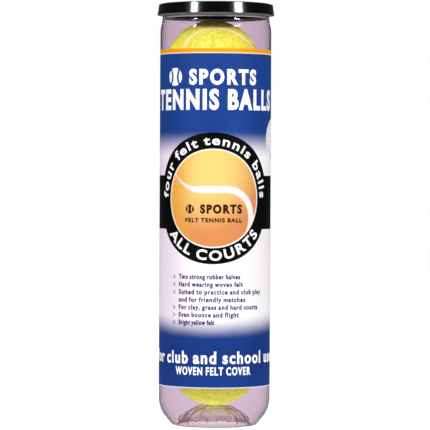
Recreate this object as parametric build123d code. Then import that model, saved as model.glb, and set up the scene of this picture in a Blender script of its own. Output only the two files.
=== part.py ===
from build123d import *
from math import cos, pi, radians, sin, sqrt, tan
import os

# Tennis ball can: a clear plastic can with a printed label, closed by a metal tear-off end that
# is seamed to its neck, under a press-on overcap, with a column of felt balls inside.
#
# Millimetres and degrees.  The origin is the centre of the ring that the can stands on, +Z runs
# up the can's axis, -Y is the front of the label and +X is on its right.

# ---- driving dimensions -------------------------------------------------------------------

# Can body, blown in clear plastic
can_r = 37.95                # outside of the straight wall
can_wall = 0.5
corner_r = 20.0              # large rounding between the wall and the base
corner_z = 18.5              # where that rounding meets the straight wall
corner_sweep = 40.0          # how far the rounding turns before it runs straight to the foot
foot_in_r = 24.3             # inside of the foot ring, before its edge is rounded
foot_round = 2.6
dome_top = 12.6              # push-up dome in the base, on its underside
dome_r = 19.0
dome_edge_z = 7.6
dome_rise = 5.0              # how far the dome bows between its edge and its top
dome_round = 2.0
petals = 9                   # hollow ribs that stiffen the dome
petal_r = 3.6
petal_start = (11.0, 8.9)    # inner end of a petal's axis, as radius and height
petal_end = (20.5, 3.4)
petal_turn = -94.0           # direction of the first petal
shoulder_z = 268.5           # the wall draws in from here
neck_z = 279.4               # to the neck here
neck_r = 36.45

# Double seam: the neck's flange and the metal end, folded over each other
seam_r = 38.1
seam_low = 279.9
seam_top = 283.1
metal = 0.3                  # sheet of the end
flange_top = 282.35
hook_out_r = 37.6            # the flange, turned down as a hook
hook_low = 280.75
compound_top = 282.75        # sealing compound, above the flange
compound_in = 0.4            # how far it reaches in from the neck's outside
hook_gap = 0.15              # the end's cover hook ends this far below the flange
seam_bends = [0.3, 0.3, 0.3, 0.5, 0.5, 0.35, 0.35]   # radii of the end's bends, from the panel out

# Metal end
panel_z = 279.85             # middle of the sheet
score_r = 33.55              # line that the end tears along
score_gap = 0.1
channel_r = (34.2, 35.05)    # the two walls of the stiffening channel
channel_z = 277.95
chuck_r = 35.8               # top of the wall that runs up to the seam
recess_r = 23.0              # finger recess under the pull tab
recess_drop = 0.7
recess_slope = 0.9
emboss_r = 9.0               # raised ring in the middle of the recess
emboss_rise = 0.35
emboss_top = 0.8             # half of the ring's width at its top
emboss_foot = 1.2            # and at its foot

# Rivet and pull tab, on the front of the end
rivet_y = -26.3
rivet_r = 1.9
rivet_head_r = 2.9
rivet_head = 0.45
rivet_round = 0.3
tab_low = 280.2
tab_high = 281.6
tab_nose_y = -33.0           # the nose bears on the score line
tab_tip_y = -7.6
tab_half = 9.0               # half width at the finger ring
tab_nose_half = 6.5
tab_nose_bow = 1.2           # how far the nose bows out between its corners
tab_corner = 1.6
tab_round = 0.4
tab_hole_round = 0.3
finger_hole = (11.4, 9.2)
finger_y = -14.6
web_r = 3.6                  # the part of the tab that the rivet holds down
web_gap = 0.9
web_z = (280.85, 281.15)
web_clear = 0.02             # between the web and the rivet

# Overcap
cap_low = 280.3
cap_top = 288.0
cap_low_r = 40.0
cap_top_r = 38.9
cap_wall = 1.1
cap_ceiling = 286.8
cap_edge = 0.8
cap_dish_r = 34.0            # stacking recess in the top
cap_dish = 0.7
cap_dish_slope = 0.9
cap_foot_round = 0.3
grip_r = 38.16               # bead inside the skirt that grips the seam
grip_z = 281.6
grip_bead = 0.45
lugs = 12                    # lugs that sit on the seam
lug_thick = 1.0
lug_in_r = 36.2
lug_low = 283.2
lug_bite = 0.3               # how far a lug runs into the wall and the ceiling

# Label
label_low = 27.4
label_high = 256.3
film = 0.1
overlap_width = 9.0          # the film's ends overlap at the back

# Balls
balls = 4
ball_r = 32.9
ball_pitch = 66.0
ball_low_z = 46.1            # centre of the lowest ball
felt_in_r = 29.72
core_out_r = 29.65
core_in_r = 26.2
seam_width = 1.7
seam_gap = 0.03              # glue line each side of the seam
seam_sink = 0.4              # the seam lies this far below the felt
seam_bend = 0.25             # shape of the seam curve: 0 is a flat circle
seam_points = 72
core_gap = 0.02
cut_past = 1.5               # the groove is cut from below the felt to above it
top_ball_x = -1.8            # the top ball leans on the wall
ball_turns = [(90, 15, -90), (20, 40, 10), (75, -30, 120), (54.3, 148.6, 84.9)]

os.makedirs("parts", exist_ok=True)


# ---- shared helpers -----------------------------------------------------------------------

def lathe(section):
    """Turn a flat section, drawn as radius and height, about the can's axis."""
    return revolve(Plane.XZ * section, Axis.Z)


def block_section(r_in, r_out, z_low, z_high):
    """Rectangular section of a ring."""
    centre = ((r_in + r_out) / 2, (z_low + z_high) / 2)
    return Pos(*centre) * Rectangle(r_out - r_in, z_high - z_low)


def sheet_section(points, bends):
    """Section of bent sheet metal, from its middle line and the radius of each bend."""
    return trace(FilletPolyline(*points, radius=bends), line_width=metal)


def disc(radius, z_low, z_high):
    """Upright round block."""
    return Pos(0, 0, z_low) * extrude(Circle(radius), z_high - z_low)


def around(count, first=0.0):
    """Equal turns about the can's axis."""
    return [Rot(0, 0, first + 360 * i / count) for i in range(count)]


def save(shape, node):
    """Write one sub-part to its own file."""
    export_step(shape, f"parts/{node}.step")


# ---- can body -----------------------------------------------------------------------------

def can_outline():
    """Full section of what the can's outside encloses, open-ended above the neck."""
    over_top = flange_top + neck_r
    turn = radians(corner_sweep)
    corner_x = can_r - corner_r
    bend = (corner_x + corner_r * cos(turn), corner_z - corner_r * sin(turn))
    half_turn = turn / 2
    bend_mid = (corner_x + corner_r * cos(half_turn), corner_z - corner_r * sin(half_turn))
    foot_edge = (bend[0] - bend[1] * tan(turn), 0)
    dome_radius = (dome_r**2 + dome_rise**2) / (2 * dome_rise)
    dome_centre_z = dome_top - dome_radius
    dome_mid = (dome_r / 2, dome_centre_z + sqrt(dome_radius**2 - (dome_r / 2) ** 2))
    shoulder_mid = ((can_r + neck_r) / 2, (shoulder_z + neck_z) / 2)
    lines = Curve() + [
        ThreePointArc((0, dome_top), dome_mid, (dome_r, dome_edge_z)),
        Line((dome_r, dome_edge_z), (foot_in_r, 0)),
        Line((foot_in_r, 0), foot_edge),
        Line(foot_edge, bend),
        ThreePointArc(bend, bend_mid, (can_r, corner_z)),
        Line((can_r, corner_z), (can_r, shoulder_z)),
        TangentArc((can_r, shoulder_z), shoulder_mid, tangent=(0, 1)),
        TangentArc((neck_r, neck_z), shoulder_mid, tangent=(0, -1)),
        Line((neck_r, neck_z), (neck_r, over_top)),
        Line((neck_r, over_top), (0, over_top)),
        Line((0, over_top), (0, dome_top)),
    ]
    half = make_face(lines)
    half = fillet(half.vertices().group_by(Axis.Y)[0], foot_round)
    dome_edge = half.vertices().sort_by_distance((dome_r, dome_edge_z))[0]
    half = fillet(dome_edge, dome_round)
    return half + mirror(half, Plane.YZ)


def capsule(start, end, radius):
    """Round-ended rod between two points."""
    way = Vector(*end) - Vector(*start)
    rod = Plane(origin=start, z_dir=way) * extrude(Circle(radius), way.length)
    return rod + Pos(*start) * Sphere(radius) + Pos(*end) * Sphere(radius)


def petal_rods(radius):
    """The rounded hollows that are pressed up into the dome."""
    start = (petal_start[0], 0, petal_start[1])
    end = (petal_end[0], 0, petal_end[1])
    return [turn * capsule(start, end, radius) for turn in around(petals, petal_turn)]


def make_can_body():
    outline = can_outline()
    hollow = offset(outline, amount=-can_wall)
    right = Pos(can_r / 2, flange_top / 2) * Rectangle(can_r, flange_top)
    outside = lathe(outline & right)
    over = Pos(can_r / 2, flange_top) * Rectangle(can_r, flange_top * 2)
    inside = lathe(hollow & over)
    for rod in petal_rods(petal_r):
        outside -= rod
    for rod in petal_rods(petal_r + can_wall):
        inside -= rod
    flange = block_section(neck_r - can_wall / 2, hook_out_r, flange_top - can_wall, flange_top)
    hook = block_section(hook_out_r - can_wall, hook_out_r, hook_low, flange_top)
    return outside - inside + lathe(flange + hook)


# ---- metal end ----------------------------------------------------------------------------

def make_end_ring():
    """What stays on the can: the ledge outside the score, the channel, the wall and the seam."""
    seam_mid_r = seam_r - metal / 2
    top = seam_top - metal / 2
    low = seam_low + metal / 2
    cover_hook_r = neck_r + metal
    points = [
        (score_r + score_gap / 2, panel_z),
        (channel_r[0], panel_z),
        (channel_r[0], channel_z),
        (channel_r[1], channel_z),
        (chuck_r, top),
        (seam_mid_r, top),
        (seam_mid_r, low),
        (cover_hook_r, low),
        (cover_hook_r, flange_top - can_wall - hook_gap),
    ]
    return lathe(sheet_section(points, seam_bends))


def make_seam_compound():
    """Ring of sealing compound, squeezed between the flange and the curl of the end."""
    return lathe(block_section(neck_r - compound_in, hook_out_r, flange_top, compound_top))


def make_tear_panel():
    """The part of the end that tears away, with the rivet that is formed from the same sheet."""
    low_z = panel_z - recess_drop
    ring_z = low_z + emboss_rise
    points = [
        (0, low_z),
        (emboss_r - emboss_foot, low_z),
        (emboss_r - emboss_top, ring_z),
        (emboss_r + emboss_top, ring_z),
        (emboss_r + emboss_foot, low_z),
        (recess_r, low_z),
        (recess_r + recess_slope, panel_z),
        (score_r - score_gap / 2, panel_z),
    ]
    panel = lathe(sheet_section(points, 0.3 * metal))
    shank = disc(rivet_r, panel_z, web_z[1])
    head = disc(rivet_head_r, web_z[1], web_z[1] + rivet_head)
    head = fillet(head.edges().group_by(Axis.Z)[-1], rivet_round)
    return panel + Pos(0, rivet_y, 0) * (shank + head)


def tab_outline():
    """Outline of the pull tab: a straight-sided nose end and a round finger end."""
    ring_y = tab_tip_y - tab_half
    corner_y = tab_nose_y + tab_nose_bow
    lines = Curve() + [
        ThreePointArc((-tab_nose_half, corner_y), (0, tab_nose_y), (tab_nose_half, corner_y)),
        Line((tab_nose_half, corner_y), (tab_half, ring_y)),
        ThreePointArc((tab_half, ring_y), (0, tab_tip_y), (-tab_half, ring_y)),
        Line((-tab_half, ring_y), (-tab_nose_half, corner_y)),
    ]
    outline = make_face(lines)
    return fillet(outline.vertices().group_by(Axis.Y)[0], tab_corner)


def make_pull_tab():
    """Stamped tab with curled edges; its web under the rivet is a node of its own."""
    plate = extrude(tab_outline(), tab_high - tab_low)
    rims = plate.faces().sort_by(Axis.Z)
    plate = fillet(rims[0].edges() + rims[-1].edges(), tab_round)
    hole = Pos(0, finger_y) * SlotOverall(*finger_hole)
    window = Pos(0, rivet_y) * Circle(web_r + web_gap)
    tab = plate - extrude(hole + window, tab_high - tab_low)
    rims = tab.faces().filter_by(Plane.XY).sort_by(Axis.Z)
    inner = [edge for rim in (rims[0], rims[-1]) for wire in rim.inner_wires() for edge in wire.edges()]
    return Pos(0, 0, tab_low) * fillet(inner, tab_hole_round)


def make_tab_web():
    """The flat web of the tab that the rivet clamps to the end."""
    web = disc(web_r, *web_z) - disc(rivet_r + web_clear, *web_z)
    return Pos(0, rivet_y, 0) * web


# ---- overcap ------------------------------------------------------------------------------

def make_overcap():
    slope = (cap_low_r - cap_top_r) / (cap_top - cap_low)
    in_low = cap_low_r - cap_wall
    in_high = in_low - slope * (cap_ceiling - cap_low)
    outline = make_face(Polyline(
        (0, cap_ceiling), (in_high, cap_ceiling), (in_low, cap_low), (cap_low_r, cap_low),
        (cap_top_r, cap_top), (cap_dish_r, cap_top), (cap_dish_r - cap_dish_slope, cap_top - cap_dish),
        (0, cap_top - cap_dish), close=True,
    ))
    rim = outline.vertices().sort_by_distance((cap_top_r, cap_top))[0]
    outline = fillet(rim, cap_edge)
    outline = fillet(outline.vertices().group_by(Axis.Y)[0], cap_foot_round)
    bead = Pos(grip_r + grip_bead, grip_z) * Circle(grip_bead)
    back = block_section(grip_r + grip_bead, in_low, grip_z - grip_bead, grip_z + grip_bead)
    cap = lathe(outline + bead + back)
    lug_out_r = in_high + lug_bite
    lug_high = cap_ceiling + lug_bite
    lug = Box(lug_out_r - lug_in_r, lug_thick, lug_high - lug_low)
    lug = Pos((lug_in_r + lug_out_r) / 2, 0, (lug_low + lug_high) / 2) * lug
    for turn in around(lugs):
        cap += turn * lug
    return cap


# ---- label --------------------------------------------------------------------------------

def make_label():
    film_tube = lathe(block_section(can_r, can_r + film, label_low, label_high))
    second_layer = lathe(block_section(can_r, can_r + 2 * film, label_low, label_high))
    strip = Pos(0, can_r, (label_low + label_high) / 2)
    strip *= Box(overlap_width, can_r, label_high - label_low)
    return film_tube + (second_layer & strip)


# ---- balls --------------------------------------------------------------------------------

def seam_point(turn, radius, side):
    """Point of the seam curve on a sphere, moved sideways along the surface."""
    a = 1 - seam_bend
    b = seam_bend
    high = 2 * sqrt(a * b)
    on_curve = Vector(
        a * cos(turn) + b * cos(3 * turn), a * sin(turn) - b * sin(3 * turn), high * sin(2 * turn)
    )
    along = Vector(
        -a * sin(turn) - 3 * b * sin(3 * turn),
        a * cos(turn) - 3 * b * cos(3 * turn),
        2 * high * cos(2 * turn),
    )
    across = on_curve.cross(along).normalized()
    return (on_curve * radius + across * side).normalized() * radius


def seam_loop(radius, side):
    """The closed seam curve at one radius."""
    turns = [2 * pi * i / seam_points for i in range(seam_points)]
    return Spline(*[seam_point(turn, radius, side) for turn in turns], periodic=True)


def seam_band(width, r_in, r_out):
    """Closed band that follows the seam curve between two radii."""
    half = width / 2
    loops = [
        seam_loop(r_in, -half),
        seam_loop(r_out, -half),
        seam_loop(r_out, half),
        seam_loop(r_in, half),
    ]
    pairs = zip(loops, loops[1:] + loops[:1])
    return Solid(Shell([Face.make_surface_from_curves(a.edge(), b.edge()) for a, b in pairs]))


def felt_panel(groove, waist, lobe):
    """One dog-bone of felt: its waist lies at the end of the ball's axis that waist names.

    The sphere that it is cut from has its poles in the other panel's two lobes.
    """
    poles = Plane(origin=(0, 0, 0), x_dir=(0, 0, -waist), z_dir=lobe)
    shell = poles * (Sphere(ball_r) - Sphere(felt_in_r))
    middle = Vertex(0, 0, waist * (felt_in_r + ball_r) / 2)
    return (shell - groove).solids().sort_by_distance(middle)[0]


def make_ball():
    """The five pieces of one ball, about its own centre."""
    groove = seam_band(seam_width + 2 * seam_gap, felt_in_r - cut_past, ball_r + cut_past)
    core = Sphere(core_out_r) - Sphere(core_in_r)
    size = 2 * ball_r
    upper = Pos(0, 0, size / 2 + core_gap / 2) * Box(size, size, size)
    lower = Pos(0, 0, -size / 2 - core_gap / 2) * Box(size, size, size)
    return {
        "core_upper": core & upper,
        "core_lower": core & lower,
        "felt_a": felt_panel(groove, 1, (1, 1, 0)),
        "felt_b": felt_panel(groove, -1, (1, -1, 0)),
        "seam": seam_band(seam_width, felt_in_r, ball_r - seam_sink),
    }


def ball_place(index):
    """Where a ball lies in the column, and how it is turned."""
    x = top_ball_x if index == balls - 1 else 0
    turn_x, turn_y, turn_z = ball_turns[index]
    turned = Rot(0, 0, turn_z) * Rot(0, turn_y, 0) * Rot(turn_x, 0, 0)
    return Pos(x, 0, ball_low_z + index * ball_pitch) * turned


# ---- write every sub-part -----------------------------------------------------------------

save(make_can_body(), "can_body")
save(make_end_ring(), "end_ring")
save(make_seam_compound(), "seam_compound")
save(make_label(), "label")
save(make_tear_panel(), "tear_panel")
save(make_tab_web(), "tab_web")
save(make_pull_tab(), "pull_tab")
save(make_overcap(), "overcap")

ball_pieces = make_ball()
for index in range(balls):
    for name, piece in ball_pieces.items():
        save(ball_place(index) * piece, f"ball_{index + 1}_{name}")
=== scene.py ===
import math

import bmesh
import bpy
import numpy as np
from mathutils import Matrix, Vector, noise


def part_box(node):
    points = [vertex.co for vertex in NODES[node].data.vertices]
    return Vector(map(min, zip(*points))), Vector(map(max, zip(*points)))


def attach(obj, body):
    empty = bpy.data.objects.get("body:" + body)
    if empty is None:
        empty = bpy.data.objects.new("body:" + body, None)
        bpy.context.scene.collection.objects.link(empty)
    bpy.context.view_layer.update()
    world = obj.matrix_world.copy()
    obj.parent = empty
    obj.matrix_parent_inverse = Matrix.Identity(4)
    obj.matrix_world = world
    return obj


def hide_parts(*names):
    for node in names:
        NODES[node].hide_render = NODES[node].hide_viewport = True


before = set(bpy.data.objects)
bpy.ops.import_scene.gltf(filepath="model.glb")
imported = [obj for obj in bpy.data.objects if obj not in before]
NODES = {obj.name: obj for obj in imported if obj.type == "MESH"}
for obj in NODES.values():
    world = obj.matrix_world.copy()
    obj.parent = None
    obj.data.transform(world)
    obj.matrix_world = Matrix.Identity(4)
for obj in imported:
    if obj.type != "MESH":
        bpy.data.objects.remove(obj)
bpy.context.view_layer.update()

# A clear plastic can of four tennis balls with a printed label, a metal tear-off end and a
# black overcap.  Lengths are in metres for the camera, lights and floor, and in millimetres for
# the can.  On the label, u is the distance round the wall from the label's middle line, which
# faces -Y, and v is the height above the ground.

MM = 0.001
SCENE = bpy.context.scene
SCENE.view_settings.view_transform = "Standard"


# ---- camera, lights and surroundings ------------------------------------------------------

VIEW_DISTANCE = 1.9             # from the camera to the can's axis
VIEW_HEIGHT = 0.171
VIEW_TARGET_HEIGHT = 0.1437
VIEW_ROLL = math.radians(0.27)
LENS = 232                      # millimetres, long enough to keep the wall's sides parallel
SENSOR = 36
LIGHT_DISTANCE = 1.3
LIGHT_TARGET_HEIGHT = 0.16
WORLD_SHINE = 0.06              # how bright the surroundings are in reflections
WORLD_FILL = 0.04               # and as fill light
FLOOR_GLOW = 1.0                # the floor is lit up to white
FLOOR_SHINE = 0.16              # how bright it is in reflections
FLOOR_FILL = 2.2                # and as light from right under the can
FLOOR_FILL_EDGE = (60, 130)     # millimetres over which that light fades out
FLOOR_HALF = 6.0
FLOOR_PAPER = (0.1, 0.1, 0.1)
SOFTBOXES = [                   # name, azimuth, elevation, width, height, watts, shine
    ("left_box", -44, 23.5, 0.18, 0.09, 13, 1.0),
    ("right_box", 46, 23.5, 0.26, 0.09, 13, 1.0),
    ("top_box", 0, 80, 1.2, 1.2, 3, 0.3),
    ("back_box", 180, 35, 1.4, 1.0, 10, 0.12),
]


def aim(thing, place, target, roll=0.0):
    """Put a camera or light at a place and turn it to face a target."""
    facing = (Vector(target) - Vector(place)).to_track_quat("-Z", "Y")
    thing.location = place
    thing.rotation_euler = (facing.to_matrix() @ Matrix.Rotation(roll, 3, "Z")).to_euler()


def make_camera():
    """A long lens in front of the can, a little above its middle."""
    data = bpy.data.cameras.new("camera")
    data.lens = LENS
    data.sensor_width = SENSOR
    camera = bpy.data.objects.new("camera", data)
    SCENE.collection.objects.link(camera)
    place = (0, -VIEW_DISTANCE, VIEW_HEIGHT)
    aim(camera, place, (0, 0, VIEW_TARGET_HEIGHT), VIEW_ROLL)
    data.clip_end = 50
    SCENE.camera = camera


def make_softbox(name, azimuth, elevation, width, height, watts, shine):
    """Area light that faces the can; azimuth 0 is on the camera's side."""
    data = bpy.data.lights.new(name, "AREA")
    data.shape = "RECTANGLE"
    data.size = width
    data.size_y = height
    data.energy = watts
    data.specular_factor = shine
    light = bpy.data.objects.new(name, data)
    SCENE.collection.objects.link(light)
    turn, rise = math.radians(azimuth), math.radians(elevation)
    target = Vector((0, 0, LIGHT_TARGET_HEIGHT))
    level = Vector((math.sin(turn), -math.cos(turn), 0)) * math.cos(rise)
    way = level + Vector((0, 0, math.sin(rise)))
    aim(light, target + way * LIGHT_DISTANCE, target)


def make_world():
    """White surroundings that look dimmer in reflections and as fill light."""
    world = bpy.data.worlds.new("studio")
    world.use_nodes = True
    SCENE.world = world
    tree = world.node_tree
    background = tree.nodes["Background"]
    background.inputs["Color"].default_value = (1, 1, 1, 1)
    path = tree.nodes.new("ShaderNodeLightPath")
    glossy = tree.nodes.new("ShaderNodeMix")
    glossy.inputs["A"].default_value = 1.0
    glossy.inputs["B"].default_value = WORLD_SHINE
    tree.links.new(path.outputs["Glossy Depth"], glossy.inputs["Factor"])
    diffuse = tree.nodes.new("ShaderNodeMix")
    diffuse.inputs["B"].default_value = WORLD_FILL
    tree.links.new(path.outputs["Diffuse Depth"], diffuse.inputs["Factor"])
    tree.links.new(glossy.outputs["Result"], diffuse.inputs["A"])
    tree.links.new(diffuse.outputs["Result"], background.inputs["Strength"])


def make_floor():
    """White paper that looks the same everywhere and lights the can's foot from below."""
    mesh = bpy.data.meshes.new("floor")
    around = ((-1, -1), (1, -1), (1, 1), (-1, 1))
    mesh.from_pydata([(x * FLOOR_HALF, y * FLOOR_HALF, 0) for x, y in around], [], [(0, 1, 2, 3)])
    floor = bpy.data.objects.new("floor", mesh)
    SCENE.collection.objects.link(floor)
    paper = Surface("floor_paper", colour=FLOOR_PAPER, roughness=0.9)
    paper.set("Emission Color", (1, 1, 1))
    path = paper.tree.nodes.new("ShaderNodeLightPath")
    x, y, _ = paper.axes()
    near = length(x, y).step(FLOOR_FILL_EDGE[1], FLOOR_FILL_EDGE[0])
    mirrored = Field(paper, path.outputs["Glossy Depth"]).calc("MINIMUM", 1.0)
    bounced = Field(paper, path.outputs["Diffuse Depth"]).calc("MINIMUM", 1.0)
    glow = mirrored * (FLOOR_SHINE - FLOOR_GLOW) + FLOOR_GLOW
    paper.set("Emission Strength", glow + (near * FLOOR_FILL - glow) * bounced)
    mottle = paper.noise(40, detail=3)
    paper.bump(mottle, 0.02, 0.001)
    mesh.materials.append(paper.material)


# ---- materials ----------------------------------------------------------------------------

class Field:
    """A number that varies over a surface.  Arithmetic on it adds math nodes."""

    def __init__(self, surface, socket):
        self.surface = surface
        self.socket = socket

    def calc(self, operation, *others):
        node = self.surface.tree.nodes.new("ShaderNodeMath")
        node.operation = operation
        for index, value in enumerate((self, *others)):
            self.surface.feed(node.inputs[index], value)
        return Field(self.surface, node.outputs[0])

    def __add__(self, other):
        return self.calc("ADD", other)

    def __sub__(self, other):
        return self.calc("SUBTRACT", other)

    def __mul__(self, other):
        return self.calc("MULTIPLY", other)

    def __truediv__(self, other):
        return self.calc("DIVIDE", other)

    def step(self, low, high):
        """0 below low, 1 above high, smooth between; the other way round if low is higher."""
        node = self.surface.tree.nodes.new("ShaderNodeMapRange")
        node.interpolation_type = "SMOOTHSTEP"
        self.surface.feed(node.inputs["Value"], self)
        node.inputs["From Min"].default_value = min(low, high)
        node.inputs["From Max"].default_value = max(low, high)
        node.inputs["To Min"].default_value = 0 if low < high else 1
        node.inputs["To Max"].default_value = 1 if low < high else 0
        return Field(self.surface, node.outputs["Result"])

    def rest(self):
        """What is left of a 0 to 1 field."""
        return self * -1.0 + 1.0

    def within(self, low, high, soft):
        """1 between two values, 0 outside them."""
        half = soft / 2
        return self.step(low - half, low + half) * self.step(high + half, high - half)

    def spread(self, low, high):
        """A 0 to 1 field stretched to run from low to high."""
        return self * (high - low) + low


def length(across, up):
    """Distance from the origin, as a field."""
    return (across * across + up * up).calc("SQRT")


class Surface:
    """A procedural material round one Principled shader."""

    def __init__(self, name, colour, roughness, **values):
        self.material = bpy.data.materials.new(name)
        self.material.use_nodes = True
        self.tree = self.material.node_tree
        self.shader = self.tree.nodes["Principled BSDF"]
        self.shader.inputs["Base Color"].default_value = (*colour, 1)
        self.shader.inputs["Roughness"].default_value = roughness
        for key, value in values.items():
            title = key.replace("_", " ").title().replace("Ior", "IOR")
            self.shader.inputs[title].default_value = value
        self.place = self.tree.nodes.new("ShaderNodeTexCoord")

    def feed(self, target, value):
        """Connect a field, a socket or a plain value to an input."""
        if isinstance(value, Field):
            self.tree.links.new(value.socket, target)
        elif isinstance(value, bpy.types.NodeSocket):
            self.tree.links.new(value, target)
        elif isinstance(value, tuple):
            target.default_value = (*value, 1)[:len(target.default_value)]
        else:
            target.default_value = value

    def axes(self):
        """The x, y and z of a point in millimetres."""
        node = self.tree.nodes.new("ShaderNodeSeparateXYZ")
        self.tree.links.new(self.place.outputs["Object"], node.inputs[0])
        return [Field(self, socket) * (1 / MM) for socket in node.outputs]

    def upward(self):
        """How far the surface faces up, from -1 to 1."""
        node = self.tree.nodes.new("ShaderNodeSeparateXYZ")
        self.tree.links.new(self.place.outputs["Normal"], node.inputs[0])
        return Field(self, node.outputs[2])

    def stretched(self, x, y, z):
        """Object coordinates scaled along each axis, for grain that runs one way."""
        node = self.tree.nodes.new("ShaderNodeMapping")
        node.inputs["Scale"].default_value = (x, y, z)
        self.tree.links.new(self.place.outputs["Object"], node.inputs["Vector"])
        return node.outputs[0]

    def noise(self, scale, detail=4.0, vector=None, roughness=0.5):
        node = self.tree.nodes.new("ShaderNodeTexNoise")
        node.inputs["Scale"].default_value = scale
        node.inputs["Detail"].default_value = detail
        node.inputs["Roughness"].default_value = roughness
        self.feed(node.inputs["Vector"], vector or self.place.outputs["Object"])
        return Field(self, node.outputs[0])

    def cells(self, scale, vector=None):
        node = self.tree.nodes.new("ShaderNodeTexVoronoi")
        node.inputs["Scale"].default_value = scale
        self.feed(node.inputs["Vector"], vector or self.place.outputs["Object"])
        return Field(self, node.outputs["Distance"])

    def mix(self, below, above, factor):
        """One colour over another."""
        node = self.tree.nodes.new("ShaderNodeMix")
        node.data_type = "RGBA"
        self.feed(node.inputs["Factor"], factor)
        self.feed(node.inputs[6], below)
        self.feed(node.inputs[7], above)
        return node.outputs[2]

    def bump(self, height, strength, distance):
        node = self.tree.nodes.new("ShaderNodeBump")
        node.inputs["Strength"].default_value = strength
        node.inputs["Distance"].default_value = distance
        self.feed(node.inputs["Height"], height)
        self.tree.links.new(node.outputs[0], self.shader.inputs["Normal"])

    def set(self, name, value):
        self.feed(self.shader.inputs[name], value)


def srgb(red, green, blue):
    """Screen colour, 0 to 255, as linear light."""
    def linear(value):
        value /= 255
        return value / 12.92 if value <= 0.04045 else ((value + 0.055) / 1.055) ** 2.4
    return tuple(linear(value) for value in (red, green, blue))


WALL_CAST = (0.77, 0.66, 0.75)      # lilac
DOME_GLOW_CAST = (0.92, 0.9, 0.8)        # painted light: a paler, yellower cast on the push-up dome in the base, for the bottom ball's yellow light
DOME_EDGE = (33, 30)                # the painted glow changes between these radii
DOME_FOOT = (2, 5)                  # and above these heights
WALL_PASSES = (0.9, 0.86, 0.9, 1)   # light that reaches what is inside
UNDERSIDE_SHADE_EDGE = (35.6, 35.2)         # radii at which the painted shade under the metal end stops
INK_ROUGHNESS = 0.52


def clear_plastic():
    """Blown clear plastic with a faint lilac cast, that lets light through to what is inside."""
    surface = Surface("clear_plastic", WALL_CAST, 0.03, transmission_weight=1.0, ior=1.3)
    x, y, z = surface.axes()
    # painted light: the push-up dome in the base gets a paler, yellower cast, standing in for the
    # yellow light of the bottom ball there
    dome = length(x, y).step(*DOME_EDGE) * z.step(*DOME_FOOT)
    surface.set("Base Color", surface.mix(WALL_CAST, DOME_GLOW_CAST, dome))
    waves = surface.noise(55, detail=2, vector=surface.stretched(1, 1, 0.35))
    surface.bump(waves, 0.12, 0.0006)
    tree = surface.tree
    path = tree.nodes.new("ShaderNodeLightPath")
    passing = tree.nodes.new("ShaderNodeBsdfTransparent")
    passing.inputs["Color"].default_value = WALL_PASSES
    blend = tree.nodes.new("ShaderNodeMixShader")
    tree.links.new(path.outputs["Is Shadow Ray"], blend.inputs[0])
    tree.links.new(surface.shader.outputs[0], blend.inputs[1])
    tree.links.new(passing.outputs[0], blend.inputs[2])
    tree.links.new(blend.outputs[0], tree.nodes["Material Output"].inputs["Surface"])
    return surface.material


def black_plastic():
    """Glossy black moulding with faint flow lines; its flat top is smoother than its wall."""
    surface = Surface("black_plastic", (0.0006, 0.0006, 0.0007), 0.16, specular_ior_level=0.4)
    specks = surface.noise(2600, detail=2)
    flow = surface.noise(60, detail=3, vector=surface.stretched(1, 1, 0.2))
    polished = surface.upward().step(0.8, 0.95) * -0.7 + 1.0
    surface.set("Roughness", (flow * 0.5 + specks * 0.5).spread(0.1, 0.22) * polished)
    surface.bump(flow * 0.8 + specks * 0.2, 0.06, 0.0004)
    return surface.material


def sheet_metal():
    """Rolled aluminium with fine straight grain; the side facing the balls is painted near-black
    and dull, as painted shade.
    """
    surface = Surface("can_metal", srgb(205, 206, 210), 0.3, metallic=1.0, specular_ior_level=0.0)
    grain = surface.noise(900, detail=5, vector=surface.stretched(0.06, 1, 1), roughness=0.65)
    smudge = surface.noise(70, detail=3)
    x, y, _ = surface.axes()
    # painted shade: the side of the end facing the balls is made near-black, fully rough and not
    # metallic, so it shows no shine and reads as the dark shade under the end
    under = surface.upward().step(-0.3, -0.7) * length(x, y).step(*UNDERSIDE_SHADE_EDGE)
    bright = surface.mix(srgb(178, 180, 186), srgb(222, 223, 226), grain)
    surface.set("Base Color", surface.mix(bright, srgb(4, 4, 5), under))
    polish = (grain * 0.6 + smudge * 0.4).spread(0.2, 0.42)
    surface.set("Roughness", polish.calc("MAXIMUM", under))
    surface.set("Metallic", under * -0.5 + 0.5)
    surface.bump(grain, 0.12, 0.0002)
    return surface.material


def felt():
    """Bright yellow nap: matted fibres, a little paler where they stand up."""
    surface = Surface("ball_felt", srgb(220, 224, 40), 0.95, specular_ior_level=0.2)
    tufts = surface.noise(420, detail=6, roughness=0.7)
    fibres = surface.cells(1500, vector=surface.stretched(1, 1, 0.4))
    patches = surface.noise(45, detail=4)
    tone = surface.mix(srgb(192, 213, 28), srgb(230, 242, 106), tufts.step(0.32, 0.7))
    tone = surface.mix(tone, srgb(240, 236, 60), patches.step(0.45, 0.75) * 0.5)
    surface.set("Base Color", tone)
    surface.bump(tufts * 0.7 + fibres * 0.5, 0.55, 0.0008)
    surface.set("Sheen Weight", 0.22)
    surface.set("Sheen Roughness", 0.45)
    surface.shader.inputs["Sheen Tint"].default_value = (*srgb(250, 250, 170), 1)
    return surface.material


def seam_rubber():
    """Pale rubber between the felt panels."""
    surface = Surface("seam_rubber", srgb(246, 234, 186), 0.62)
    grit = surface.noise(1100, detail=4)
    stain = surface.noise(80, detail=3)
    surface.set("Base Color", surface.mix(srgb(236, 228, 146), srgb(250, 242, 184), stain))
    surface.bump(grit, 0.3, 0.0003)
    return surface.material


def core_rubber():
    """Grey moulded rubber of the balls' hollow cores."""
    surface = Surface("core_rubber", srgb(96, 92, 84), 0.7)
    cloudy = surface.noise(120, detail=4)
    surface.set("Base Color", surface.mix(srgb(78, 74, 68), srgb(112, 106, 98), cloudy))
    surface.bump(surface.noise(900, detail=4), 0.25, 0.0004)
    return surface.material


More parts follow.
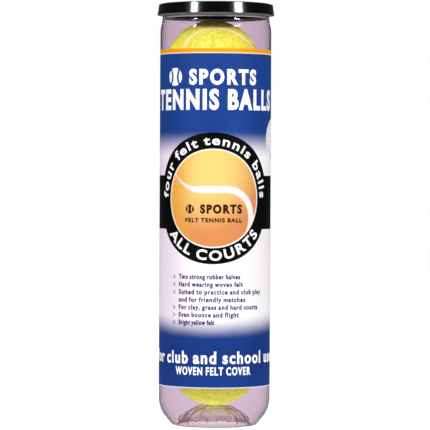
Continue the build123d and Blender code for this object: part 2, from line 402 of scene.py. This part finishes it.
def compound():
    """Grey sealing compound in the metal end's seam."""
    surface = Surface("sealing_compound", srgb(150, 146, 138), 0.6)
    surface.bump(surface.noise(700, detail=3), 0.3, 0.0003)
    tone = surface.mix(srgb(138, 134, 126), srgb(160, 156, 148), surface.noise(300))
    surface.set("Base Color", tone)
    return surface.material


def ink(name, colour):
    """Printing ink on the film, with slightly uneven cover."""
    surface = Surface(name, srgb(*colour), INK_ROUGHNESS, specular_ior_level=0.1)
    cover = surface.noise(1800, detail=3)
    paler = tuple(min(255, value + 10) for value in colour)
    surface.set("Base Color", surface.mix(srgb(*colour), srgb(*paler), cover))
    surface.set("Roughness", cover.spread(INK_ROUGHNESS - 0.06, INK_ROUGHNESS + 0.08))
    return surface.material


# ---- the label's print, in millimetres ----------------------------------------------------

LABEL_LOW, LABEL_HIGH = (corner.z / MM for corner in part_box("label"))
LABEL_R = 38.05                 # outside of the film
FADE_TOP = (182.0, 201.0)       # the blue fades out between these heights
FADE_FOOT = (60.0, 76.5)
FADE_BOW = 0.0013               # the lower fade rises towards the sides
FADE_BOW_END = 46.0             # and is level again beyond this distance
PAPER_LEFT = (-46, -4)          # the paper turns from lilac to white along this stretch
PAPER_RIGHT = (150, 40)         # and back along this one
BAND = (134.5, 170.8)           # black band round the can
PALE_STRIPE = 3.3               # widths of the stripes along the film's edges
ORANGE_STRIPE = 2.6
FOOT_STRIPE = 0.65
MARK_U, MARK_V = -1.3, 155.4    # middle of the ring and ball picture
RING_R = 44.3
BALL_PICTURE_R = 32.5
OUTLINE_R = 33.45               # outside of the pale line round the ball picture
SEAL_U, SEAL_V, SEAL_R = 57.0, 195.9, 14.0

DARK_BLUE = (23, 53, 128)
BLUE = (32, 71, 148)
FOOT_BLUE = (18, 46, 112)
PAPER = (255, 251, 254)
OUTLINE = (255, 244, 238)
PICTURE_LIGHT = (248, 212, 124)
PICTURE_DARK = (222, 142, 86)
PICTURE_WARM = (244, 172, 68)
PICTURE_SEAM = (255, 240, 240)
PEACH = (255, 224, 190)
PALE_BLUE = (206, 205, 235)
LILAC = (244, 230, 248)
INK_BLACK = (2, 2, 3)
WHITE = (252, 250, 253)
ORANGE = (240, 160, 10)
NAVY = (48, 36, 104)
BROWN = (44, 10, 8)
GREY = (150, 142, 160)
SEAL_WHITE = (246, 238, 248)


def label_print():
    """The film's printed background: bands, fades, ring and ball picture."""
    surface = Surface("label_film", srgb(*BLUE), 0.5, specular_ior_level=0.06)
    x, y, z = surface.axes()
    around = x.calc("ARCTAN2", y * -1.0) * LABEL_R
    cloud = surface.noise(25, detail=3)
    grain = surface.noise(1600, detail=2)

    blue = surface.mix(srgb(*DARK_BLUE), srgb(*BLUE), cloud)
    blue = surface.mix(blue, srgb(*FOOT_BLUE), z.step(82, 44) * 0.6)
    sideways = around.calc("ABSOLUTE").calc("MINIMUM", FADE_BOW_END)
    foot = z + cloud * 4 - 2 - sideways * sideways * FADE_BOW
    pale = z.step(FADE_TOP[1], FADE_TOP[0]) * foot.step(FADE_FOOT[0], FADE_FOOT[1])
    white = around.step(*PAPER_LEFT) * around.step(*PAPER_RIGHT)
    paper = surface.mix(srgb(*LILAC), srgb(*PAPER), white)
    colour = surface.mix(blue, paper, pale)

    u = around - MARK_U
    v = z - MARK_V
    from_mark = length(u, v)

    def disc(radius):
        return from_mark.step(radius + 0.15, radius - 0.15)

    def above(height):
        return z.step(height - 0.1, height + 0.1)

    def paint(tone, cover):
        return surface.mix(colour, srgb(*tone), cover)

    colour = paint(INK_BLACK, z.within(*BAND, 0.3).calc("MAXIMUM", disc(RING_R)))
    colour = paint(OUTLINE, disc(OUTLINE_R))

    # the ball picture: yellow in the middle, orange at the edge and low down
    glow = from_mark / BALL_PICTURE_R
    low_right = u / BALL_PICTURE_R * 0.2 - v / BALL_PICTURE_R * 0.6
    shade = (glow * glow * 0.5 + low_right + 0.2).step(-0.15, 1.0)
    ball = surface.mix(srgb(*PICTURE_LIGHT), srgb(*PICTURE_DARK), shade)
    warm = (u * -1.0 / BALL_PICTURE_R + glow * 0.3).step(0.5, 1.1)
    ball = surface.mix(ball, srgb(*PICTURE_WARM), warm * 0.7)
    inside = disc(BALL_PICTURE_R)
    colour = surface.mix(colour, ball, inside)
    colour = paint(PICTURE_SEAM, seam_picture(u, v) * inside)

    # stripes at the film's edges
    colour = paint(PEACH, above(LABEL_HIGH - PALE_STRIPE))
    colour = paint(ORANGE, above(LABEL_HIGH - ORANGE_STRIPE))
    colour = paint(PALE_BLUE, above(LABEL_LOW + FOOT_STRIPE).rest())

    surface.set("Base Color", colour)
    surface.set("Roughness", (cloud * 0.5 + grain * 0.5).spread(0.42, 0.58))
    ripple = surface.noise(30, detail=2, vector=surface.stretched(1, 1, 0.25))
    surface.bump(ripple * 0.9 + grain * 0.02, 0.05, 0.001)
    return surface.material


def seam_picture(u, v):
    """Tapered white stroke across the ball picture: level on the left, falling on the right."""
    bend_u, bend_v, bend_r = 9.1, -12.5, 18.5
    tail_u, tail_rise = -11.0, 0.034
    soft = 0.6
    right = u - bend_u
    up = v - bend_v
    bend = (length(right, up) - bend_r).calc("ABSOLUTE")
    in_bend = right.step(-0.1, 0.1)
    rise = (u * -1.0 + tail_u).calc("MAXIMUM", 0.0).calc("POWER", 2.0) * tail_rise
    level = (v - (bend_v + bend_r) - rise).calc("ABSOLUTE")
    distance = level * in_bend.rest() + bend * in_bend
    left_half = u.step(-29.0, -6.0) * 1.9 + 0.4
    right_half = up.step(-26.0, 2.0) * 3.0 - 0.7
    half = left_half.calc("MINIMUM", right_half * in_bend + in_bend.rest() * 9.0)
    return (half - distance).step(-soft, soft)


# ---- lettering ----------------------------------------------------------------------------

INK_LIFT = 0.045                # the ink stands this far above the film's mean surface
SINK = 0.05                     # and reaches this far into it
SEAL_LIFT, DOT_LIFT = 0.035, 0.05
STRIP = 1.2                     # flat print is cut this narrow before it bends round the can
CUT_TOLERANCE = 0.00001
POINT_TOLERANCE = 0.0005        # points of a letter closer than this become one
CURVE_STEPS = 4                 # pieces that each stretch of a letter's outline is drawn with
FONT_CAP = 0.682                # height of a capital in the built-in font
WORD_GAP = 0.72                 # how wide a space is, next to the font's own

OVER_R = BALL_PICTURE_R + 3.4   # feet of the letters over the ring's top
UNDER_R = RING_R - 2.3          # feet of the letters along its bottom

BADGE_WAIST = 0.40              # from a badge's middle to its seam, as a share of its radius
BADGE_BOW = 0.342               # how much further out the seam is at its ends
BADGE_REACH = 0.97              # how high and low the seam goes
BADGE_GAP = 0.13                # half of the seam's width
BADGE_STEPS = 24

LIST_LINES = [                  # words and width
    ("Two strong rubber halves", 44),
    ("Hard wearing woven felt", 46),
    ("Suited to practice and club play", 62),
    ("and for friendly matches", 48),
    ("For clay, grass and hard courts", 59),
    ("Even bounce and flight", 43),
    ("Bright yellow felt", 26),
]
RUN_ON_LINE = 3                 # goes on from the line before, so it has no pointer
LIST_TOP, LIST_PITCH, LIST_LEFT = 100.9, 5.13, -26.2
LIST_CAP, LIST_BOLD, LIST_SPACING = 3.4, 0.18, 1.22
POINTER_TIP = -29.6
POINTER = [(-1.6, 2.5), (0, 1.4), (-1.6, 0.3)]      # from the tip, and the line's foot
POINTER_WIDTH = 0.7

SEAL_RINGS = [(12.2, 40), (10.4, 34), (4.2, 12), (2.4, 7)]      # radius and number of dots
DOT_R = 0.42


def text_outline(text, spacing):
    """Outlines of a line of text, as a curve that can be stretched before it is thickened."""
    font = bpy.data.curves.new("text", "FONT")
    font.body = text
    font.space_character = spacing
    font.space_word = WORD_GAP
    holder = bpy.data.objects.new("text", font)
    SCENE.collection.objects.link(holder)
    bpy.context.view_layer.update()
    outline = holder.to_curve(bpy.context.evaluated_depsgraph_get()).copy()
    holder.to_curve_clear()
    bpy.data.objects.remove(holder)
    bpy.data.curves.remove(font)
    return outline


def text_sheet(text, width, cap_height, bold, spacing):
    """Text as a flat bmesh in millimetres, middle at u = 0, baseline at v = 0.

    Bold is how far its strokes are thickened on each side.
    """
    outline = text_outline(text, spacing)
    across = [point.co.x for spline in outline.splines for point in spline.bezier_points]
    left, right = min(across), max(across)
    stretch = (width - 2 * bold) / (right - left)
    rise = (cap_height - 2 * bold) / FONT_CAP
    middle = Matrix.Translation((-(left + right) / 2, 0, 0))
    scale = Matrix.Diagonal((stretch, rise, 1, 1))
    outline.transform(Matrix.Translation((0, bold, 0)) @ scale @ middle)
    outline.dimensions = "2D"
    outline.fill_mode = "BOTH"
    outline.resolution_u = CURVE_STEPS
    outline.offset = bold
    holder = bpy.data.objects.new("text", outline)
    SCENE.collection.objects.link(holder)
    bpy.context.view_layer.update()
    graph = bpy.context.evaluated_depsgraph_get()
    mesh = bpy.data.meshes.new_from_object(holder.evaluated_get(graph))
    bpy.data.objects.remove(holder)
    bpy.data.curves.remove(outline)
    sheet = bmesh.new()
    sheet.from_mesh(mesh)
    bpy.data.meshes.remove(mesh)
    bmesh.ops.remove_doubles(sheet, verts=sheet.verts, dist=POINT_TOLERANCE)
    return sheet


def cut_strips(sheet):
    """Cut a flat sheet into narrow strips, so that it can bend round the can."""
    xs = [vert.co.x for vert in sheet.verts]
    cut = math.floor(min(xs) / STRIP) * STRIP
    while cut < max(xs):
        parts = sheet.verts[:] + sheet.edges[:] + sheet.faces[:]
        bmesh.ops.bisect_plane(
            sheet, geom=parts, plane_co=(cut, 0, 0), plane_no=(1, 0, 0), dist=CUT_TOLERANCE)
        cut += STRIP


def on_wall(u, v, lift):
    """Point on the label, lifted off it, all in millimetres, as metres."""
    turn = u / LABEL_R
    radius = LABEL_R + lift
    return Vector((radius * math.sin(turn), -radius * math.cos(turn), v)) * MM


def print_on(name, sheets, material, place=lambda u, v: (u, v), lift=INK_LIFT):
    """Lay flat sheets of ink on the label as one thin closed piece."""
    solid = bmesh.new()
    for sheet in sheets:
        cut_strips(sheet)
        for vert in sheet.verts:
            vert.co.x, vert.co.y = place(vert.co.x, vert.co.y)
        cut_strips(sheet)
        top = {}
        low = {}
        for vert in sheet.verts:
            top[vert] = solid.verts.new(on_wall(vert.co.x, vert.co.y, lift))
            low[vert] = solid.verts.new(on_wall(vert.co.x, vert.co.y, -SINK))
        for face in sheet.faces:
            solid.faces.new([top[vert] for vert in face.verts])
            solid.faces.new([low[vert] for vert in reversed(face.verts)])
        for edge in sheet.edges:
            if len(edge.link_faces) == 1:
                loop = next(l for l in edge.link_faces[0].loops if l.edge == edge)
                a, b = loop.vert, loop.link_loop_next.vert
                solid.faces.new([top[b], top[a], low[a], low[b]])
        sheet.free()
    bmesh.ops.recalc_face_normals(solid, faces=solid.faces)
    mesh = bpy.data.meshes.new(name)
    solid.to_mesh(mesh)
    solid.free()
    mesh.materials.append(material)
    piece = bpy.data.objects.new(name, mesh)
    SCENE.collection.objects.link(piece)
    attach(piece, "can")


def flat_face(points, u, v):
    """One flat face through points, moved to a place on the label."""
    sheet = bmesh.new()
    sheet.faces.new([sheet.verts.new((u + a, v + b, 0)) for a, b in points])
    return sheet


def round_points(radius, count):
    """Evenly spaced points on a circle."""
    turns = [2 * math.pi * index / count for index in range(count)]
    return [(radius * math.cos(turn), radius * math.sin(turn)) for turn in turns]


def over_arc(radius):
    """Lettering that runs over the top of the ring."""
    def place(u, v):
        turn = u / radius
        return (MARK_U + (radius + v) * math.sin(turn), MARK_V + (radius + v) * math.cos(turn))
    return place


def under_arc(radius):
    """Lettering that runs along the bottom of the ring."""
    def place(u, v):
        turn = u / radius
        return (MARK_U + (radius - v) * math.sin(turn), MARK_V - (radius - v) * math.cos(turn))
    return place


def stroke_sheet(points, width):
    """Flat ribbon along a line of points."""
    sheet = bmesh.new()
    rows = []
    for index, (u, v) in enumerate(points):
        before = Vector(points[max(index - 1, 0)])
        after = Vector(points[min(index + 1, len(points) - 1)])
        side = (after - before).normalized().orthogonal() * width / 2
        rows.append([sheet.verts.new((u + side.x * s, v + side.y * s, 0)) for s in (-1, 1)])
    for first, second in zip(rows, rows[1:]):
        sheet.faces.new([first[0], first[1], second[1], second[0]])
    return sheet


def badge_seam(radius):
    """Points of the right-hand seam of a ball badge, from the bottom up."""
    points = []
    for index in range(BADGE_STEPS + 1):
        rise = -1 + 2 * index / BADGE_STEPS
        across = BADGE_WAIST + BADGE_BOW * rise * rise
        points.append((across * radius, rise * BADGE_REACH * radius))
    return points


def ball_badge(u, v, radius):
    """Round badge with a ball's seam left open: two side pieces and a middle one."""
    seam = badge_seam(radius)
    gap = BADGE_GAP * radius
    sheets = []
    for side in (-1, 1):
        edge = [(side * (across + gap), up) for across, up in seam]
        outline = [point for point in edge if math.hypot(*point) < radius]
        turn_low, turn_high = (math.atan2(up, across) for across, up in (outline[0], outline[-1]))
        if side < 0:
            turn_low += 2 * math.pi
        step = (turn_low - turn_high) / BADGE_STEPS
        turns = [turn_high + step * index for index in range(BADGE_STEPS + 1)]
        outline += [(radius * math.cos(turn), radius * math.sin(turn)) for turn in turns]
        sheets.append(flat_face(outline, u, v))
    rights = [(min(across - gap, math.sqrt(radius**2 - up**2)), up) for across, up in seam]
    lefts = [(-across, up) for across, up in rights]
    sheets.append(flat_face(rights + lefts[::-1], u, v))
    return sheets


def words_at(u, v, *line):
    """A line of text, described as for text_sheet, with its middle at u and its baseline at v."""
    sheet = text_sheet(*line)
    for vert in sheet.verts:
        vert.co.x += u
        vert.co.y += v
    return [sheet]


def make_lettering():
    """Plain, generic wording in the places where the label carries print."""
    white = ink("white_ink", WHITE)
    navy = ink("navy_ink", NAVY)
    brown = ink("brown_ink", BROWN)

    print_on("print_badge", ball_badge(-30.5, 237.3, 6.2), white)
    print_on("print_word", words_at(6.0, 231.8, "SPORTS", 49, 10.6, 0.62, 1.3), white)
    words = words_at(-0.5, 214.9, "TENNIS BALLS", 102, 14.1, 0.75, 1.26)
    print_on("print_headline", words, white)

    words = words_at(0, 0, "four felt tennis balls", 112, 6.3, 0.26, 1.2)
    print_on("print_over_ring", words, white, over_arc(OVER_R))
    words = words_at(0, 0, "ALL COURTS", 80, 7.0, 0.36, 1.2)
    print_on("print_under_ring", words, white, under_arc(UNDER_R))

    print_on("print_ball_badge", ball_badge(-17.6, 148.2, 3.1), brown)
    print_on("print_ball_word", words_at(4.4, 145.1, "SPORTS", 29, 6.2, 0.42, 1.3), brown)
    words = words_at(-1.0, 139.2, "FELT TENNIS BALL", 40, 3.0, 0.19, 1.22)
    print_on("print_ball_line", words, brown)

    make_list(navy)

    words = words_at(0.0, 43.9, "for club and school use", 112, 8.5, 0.34, 1.2)
    print_on("print_foot", words, white)
    words = words_at(-1.2, 36.3, "WOVEN FELT COVER", 55, 5.5, 0.2, 1.24)
    print_on("print_foot_line", words, white)


def make_list(material):
    """Short lines with a pointer in front of each, apart from the one that runs on."""
    sheets = []
    for row, (words, width) in enumerate(LIST_LINES):
        v = LIST_TOP - LIST_PITCH * row
        middle = LIST_LEFT + width / 2
        sheets += words_at(middle, v, words, width, LIST_CAP, LIST_BOLD, LIST_SPACING)
        if row != RUN_ON_LINE:
            points = [(POINTER_TIP + across, v + up) for across, up in POINTER]
            sheets.append(stroke_sheet(points, POINTER_WIDTH))
    print_on("print_list", sheets, material)


def make_seal():
    """Round white seal on the right of the label, with rows of dots."""
    grey = ink("grey_ink", GREY)
    white = ink("seal_ink", SEAL_WHITE)
    seal = flat_face(round_points(SEAL_R, 48), SEAL_U, SEAL_V)
    print_on("print_seal", [seal], white, lift=SEAL_LIFT)
    dot = round_points(DOT_R, 10)
    places = [place for ring_r, count in SEAL_RINGS for place in round_points(ring_r, count)]
    dots = [flat_face(dot, SEAL_U + across, SEAL_V + up) for across, up in places]
    print_on("print_seal_dots", dots, grey, lift=DOT_LIFT)


# ---- meshes -------------------------------------------------------------------------------

def make_piece(name, points, faces, material, body):
    """Smooth mesh piece, from points in millimetres."""
    mesh = bpy.data.meshes.new(name)
    mesh.from_pydata((np.asarray(points) * MM).tolist(), [], faces)
    mesh.update()
    mesh.polygons.foreach_set("use_smooth", [True] * len(mesh.polygons))
    mesh.materials.append(material)
    piece = bpy.data.objects.new(name, mesh)
    SCENE.collection.objects.link(piece)
    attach(piece, body)
    return piece


def ring_faces(rows, columns):
    """Faces of a grid of points that closes on itself both ways."""
    faces = []
    for row in range(rows):
        below = row * columns
        above = (row + 1) % rows * columns
        for column in range(columns):
            after = (column + 1) % columns
            faces.append((below + column, below + after, above + after, above + column))
    return faces


# ---- label film ---------------------------------------------------------------------------

FILM = 0.09                     # thickness
OVERLAP_HALF = 4.5              # from the middle of the back to where the overlap ends
RIPPLE = 0.03                   # how far the film wanders in and out
RIPPLE_AROUND = 3               # its scale round the can
RIPPLE_UP = 45                  # and up it, in millimetres
CRISP_ANGLE = 40


def make_label():
    """The wrapped film, a little uneven, with its ends overlapping at the back."""
    columns, rows = 600, 76
    turn = np.linspace(0, 2 * math.pi, columns, endpoint=False)
    heights = np.linspace(LABEL_LOW, LABEL_HIGH, rows)
    to_back = np.abs(math.pi - turn) * LABEL_R
    overlap = FILM * (to_back < OVERLAP_HALF)
    points = []
    around = RIPPLE_AROUND * np.stack([np.sin(turn), np.cos(turn)], 1)
    for z in heights:
        ripple = [RIPPLE * noise.noise((a, b, z / RIPPLE_UP)) for a, b in around]
        points.append(polar(LABEL_R + overlap + np.array(ripple), turn, z))
    for z in heights[::-1]:
        points.append(polar(np.full(columns, LABEL_R - FILM), turn, z))
    points = np.concatenate(points)
    faces = ring_faces(2 * rows, columns)
    piece = make_piece("label_film", points, faces, label_print(), "can")
    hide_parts("label")
    sharpen(piece, CRISP_ANGLE)


def polar(radius, turn, z):
    """Points round the can's axis; a turn of 0 faces the front."""
    return np.stack([radius * np.sin(turn), -radius * np.cos(turn), np.full(len(turn), z)], 1)


def sharpen(piece, angle):
    """Keep edges that turn more sharply than an angle crisp."""
    mesh = piece.data
    solid = bmesh.new()
    solid.from_mesh(mesh)
    for edge in solid.edges:
        if len(edge.link_faces) == 2 and edge.calc_face_angle() > math.radians(angle):
            edge.smooth = False
    solid.to_mesh(mesh)
    solid.free()


# ---- balls --------------------------------------------------------------------------------

BALL_R = 32.9
FELT_IN_R = 29.73               # inside of the felt and the seam, just outside the core
SEAM_OUT_R = 32.45              # the seam's edges
SEAM_HALF = 1.1                 # half of the seam's width
SEAM_SAG = 0.22                 # the seam's middle is lower than its edges
SEAM_WOBBLE, WOBBLE_SCALE = 0.07, 9
SEAM_COLUMNS, SEAM_STEPS = 720, 7
SEAM_BEND = 0.25                # shape of the seam curve: 0 is a flat circle
MEASURE_POINTS = 1440           # points of the curve that distances are measured from
FELT_EDGE = 1.16                # from the seam's middle line to the felt's edge
EDGE_ROUND = 1.1                # the felt's cut edge is rounded over
NAP = 0.28                      # how unevenly the felt stands
NAP_ROOT = 0.12                 # how far the felt's mean surface lies under BALL_R
NAP_CALM = 0.25                 # share of the unevenness left at a panel's edge
NAP_GRAIN = [(4.2, 0.45), (1.5, 0.4), (0.75, 0.35)]     # size and weight: clumps, tufts, fibres
SPHERE_CUTS = 7                 # how many times the sphere's triangles are divided
BLOCK = 4096                    # points measured at a time
BALL_TURNS = [(90, 15, -90), (20, 40, 10), (75, -30, 120), (54.3, 148.6, 84.9)]    # bottom up


def seam_curve(count):
    """Points of the seam on a sphere of radius 1, and the directions across it."""
    t = np.linspace(0, 2 * math.pi, count, endpoint=False)
    a, b = 1 - SEAM_BEND, SEAM_BEND
    high = 2 * math.sqrt(a * b)
    place = np.stack([
        a * np.cos(t) + b * np.cos(3 * t),
        a * np.sin(t) - b * np.sin(3 * t),
        high * np.sin(2 * t),
    ], 1)
    along = np.stack([
        -a * np.sin(t) - 3 * b * np.sin(3 * t),
        a * np.cos(t) - 3 * b * np.cos(3 * t),
        2 * high * np.cos(2 * t),
    ], 1)
    across = np.cross(place, along)
    return place, across / np.linalg.norm(across, axis=1)[:, None]


def depth_in_panel(points, side):
    """How far inside one felt panel each point of a ball lies, from the felt's edge."""
    curve = seam_curve(MEASURE_POINTS)[0]
    nearest = np.empty(len(points))
    for first in range(0, len(points), BLOCK):
        nearest[first:first + BLOCK] = (points[first:first + BLOCK] @ curve.T).max(axis=1)
    distance = np.sqrt(np.maximum(2 - 2 * nearest, 0)) * BALL_R
    x, y, z = points.T
    in_panel = side * (z**3 / (3 * math.sqrt(3)) - x * y) > 0
    return np.where(in_panel, distance, -distance) - FELT_EDGE


def unit_sphere():
    """Points and triangles of an even, fine sphere."""
    solid = bmesh.new()
    bmesh.ops.create_icosphere(solid, subdivisions=SPHERE_CUTS, radius=1)
    points = np.array([vert.co[:] for vert in solid.verts])
    faces = [tuple(vert.index for vert in face.verts) for face in solid.faces]
    solid.free()
    return points, faces


def cut_panel(sphere, side):
    """Points, faces and depths of the part of a sphere that lies inside one felt panel."""
    points, faces = sphere
    depth = depth_in_panel(points, side)
    kept = []
    made = []
    between = {}

    def crossing(inside, outside):
        key = (inside, outside)
        if key not in between:
            share = depth[inside] / (depth[inside] - depth[outside])
            place = points[inside] + (points[outside] - points[inside]) * share
            between[key] = len(points) + len(made)
            made.append(place / np.linalg.norm(place))
        return between[key]

    for face in faces:
        inside = [index for index in face if depth[index] > 0]
        if len(inside) == 3:
            kept.append(face)
        elif inside:
            kept.append(cut_corner(face, depth, crossing))
    every = np.concatenate([points, np.array(made)])
    depths = np.concatenate([depth, np.zeros(len(made))])
    used = sorted({index for face in kept for index in face})
    place = {index: position for position, index in enumerate(used)}
    return every[used], [tuple(place[index] for index in face) for face in kept], depths[used]


def cut_corner(face, depth, crossing):
    """The part of a triangle that lies inside the panel, as a triangle or a quad."""
    corners = []
    for index, after in zip(face, face[1:] + face[:1]):
        if depth[index] > 0:
            corners.append(index)
        if (depth[index] > 0) != (depth[after] > 0):
            corners.append(crossing(*((index, after) if depth[index] > 0 else (after, index))))
    return tuple(corners)


def rim_edges(faces):
    """Edges with a face on one side only, in the direction in which that face runs."""
    edges = {(a, b) for face in faces for a, b in zip(face, face[1:] + face[:1])}
    return [(a, b) for a, b in edges if (b, a) not in edges]


def nap_height(point, seed):
    """How far the matted felt stands up at a point, from clumps down to single tufts."""
    place = Vector(point) * BALL_R
    shift = Vector((seed * 17.0, seed * 5.0, 0))
    return sum(noise.noise((place / size + shift)[:]) * weight for size, weight in NAP_GRAIN)


def make_felt(name, panel, seed, place, node, body, material):
    """One felt panel as a closed shell with a matted surface and rounded edges."""
    points, faces, depth = panel
    inward = np.clip(EDGE_ROUND - depth, 0, EDGE_ROUND)
    drop = EDGE_ROUND - np.sqrt(EDGE_ROUND**2 - inward**2)
    nap = np.array([nap_height(point, seed) for point in points]) * NAP
    calm = np.clip(depth / EDGE_ROUND, NAP_CALM, 1)
    outer = points * (BALL_R - NAP_ROOT - drop + nap * calm)[:, None]
    inner = points * FELT_IN_R
    count = len(points)
    shell = list(faces) + [tuple(count + index for index in reversed(face)) for face in faces]
    shell += [(b, a, a + count, b + count) for a, b in rim_edges(faces)]
    points = move(np.concatenate([outer, inner]), place)
    piece = make_piece(name, points, shell, material, body)
    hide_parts(node)


def make_seam(name, place, node, body, material):
    """The rubber line between the felt panels, slightly hollow on top."""
    curve, across = seam_curve(SEAM_COLUMNS)
    wobble = np.array([SEAM_WOBBLE * noise.noise((p * WOBBLE_SCALE)[:]) for p in curve])
    rows = []
    for step in range(SEAM_STEPS):
        side = 2 * step / (SEAM_STEPS - 1) - 1
        sag = SEAM_SAG * (1 - side * side)
        rows.append(seam_row(curve, across, side * SEAM_HALF, SEAM_OUT_R - sag + wobble))
    for side in (1, -1):
        rows.append(seam_row(curve, across, side * SEAM_HALF, np.full(len(curve), FELT_IN_R)))
    points = move(np.concatenate(rows), place)
    faces = [face[::-1] for face in ring_faces(len(rows), len(curve))]
    piece = make_piece(name, points, faces, material, body)
    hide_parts(node)


def seam_row(curve, across, side, radius):
    """The seam curve moved sideways over the ball, at a radius for each point."""
    on_sphere = curve + across * side / BALL_R
    on_sphere /= np.linalg.norm(on_sphere, axis=1)[:, None]
    return on_sphere * radius[:, None]


def move(points, place):
    """Points about the origin, turned and moved to a ball's place."""
    turn, centre = place
    return points @ np.array(turn).T + np.array(centre)


def ball_place(index):
    """How a ball is turned, and its middle, from the frame."""
    low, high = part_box(f"ball_{index + 1}_core_upper")
    other_low, other_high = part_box(f"ball_{index + 1}_core_lower")
    centre = [(min(low[i], other_low[i]) + max(high[i], other_high[i])) / 2 / MM for i in range(3)]
    turn = Matrix.Identity(3)
    for axis, angle in zip("XYZ", BALL_TURNS[index]):
        turn = Matrix.Rotation(math.radians(angle), 3, axis) @ turn
    return turn, centre


def make_balls():
    """Felt, seam and core of every ball; all of them share two panel shapes."""
    wool, rubber, core = felt(), seam_rubber(), core_rubber()
    sphere = unit_sphere()
    panels = {"felt_a": cut_panel(sphere, 1), "felt_b": cut_panel(sphere, -1)}
    for index in range(len(BALL_TURNS)):
        ball = f"ball_{index + 1}"
        place = ball_place(index)
        for part, panel in panels.items():
            make_felt(f"{ball}_{part}_nap", panel, index + 1, place, f"{ball}_{part}", ball, wool)
        make_seam(f"{ball}_seam_line", place, f"{ball}_seam", ball, rubber)
        dress(core, f"{ball}_core_upper", f"{ball}_core_lower")


# ---- the whole scene ----------------------------------------------------------------------

def dress(material, *nodes):
    """Give CAD nodes their finish."""
    for name in nodes:
        for slot in NODES[name].material_slots:
            slot.link = "OBJECT"
            slot.material = material


make_camera()
make_world()
for softbox in SOFTBOXES:
    make_softbox(*softbox)
make_floor()
dress(clear_plastic(), "can_body")
dress(sheet_metal(), "end_ring", "tear_panel", "tab_web", "pull_tab")
dress(compound(), "seam_compound")
dress(black_plastic(), "overcap")
make_label()
make_lettering()
make_seal()
make_balls()
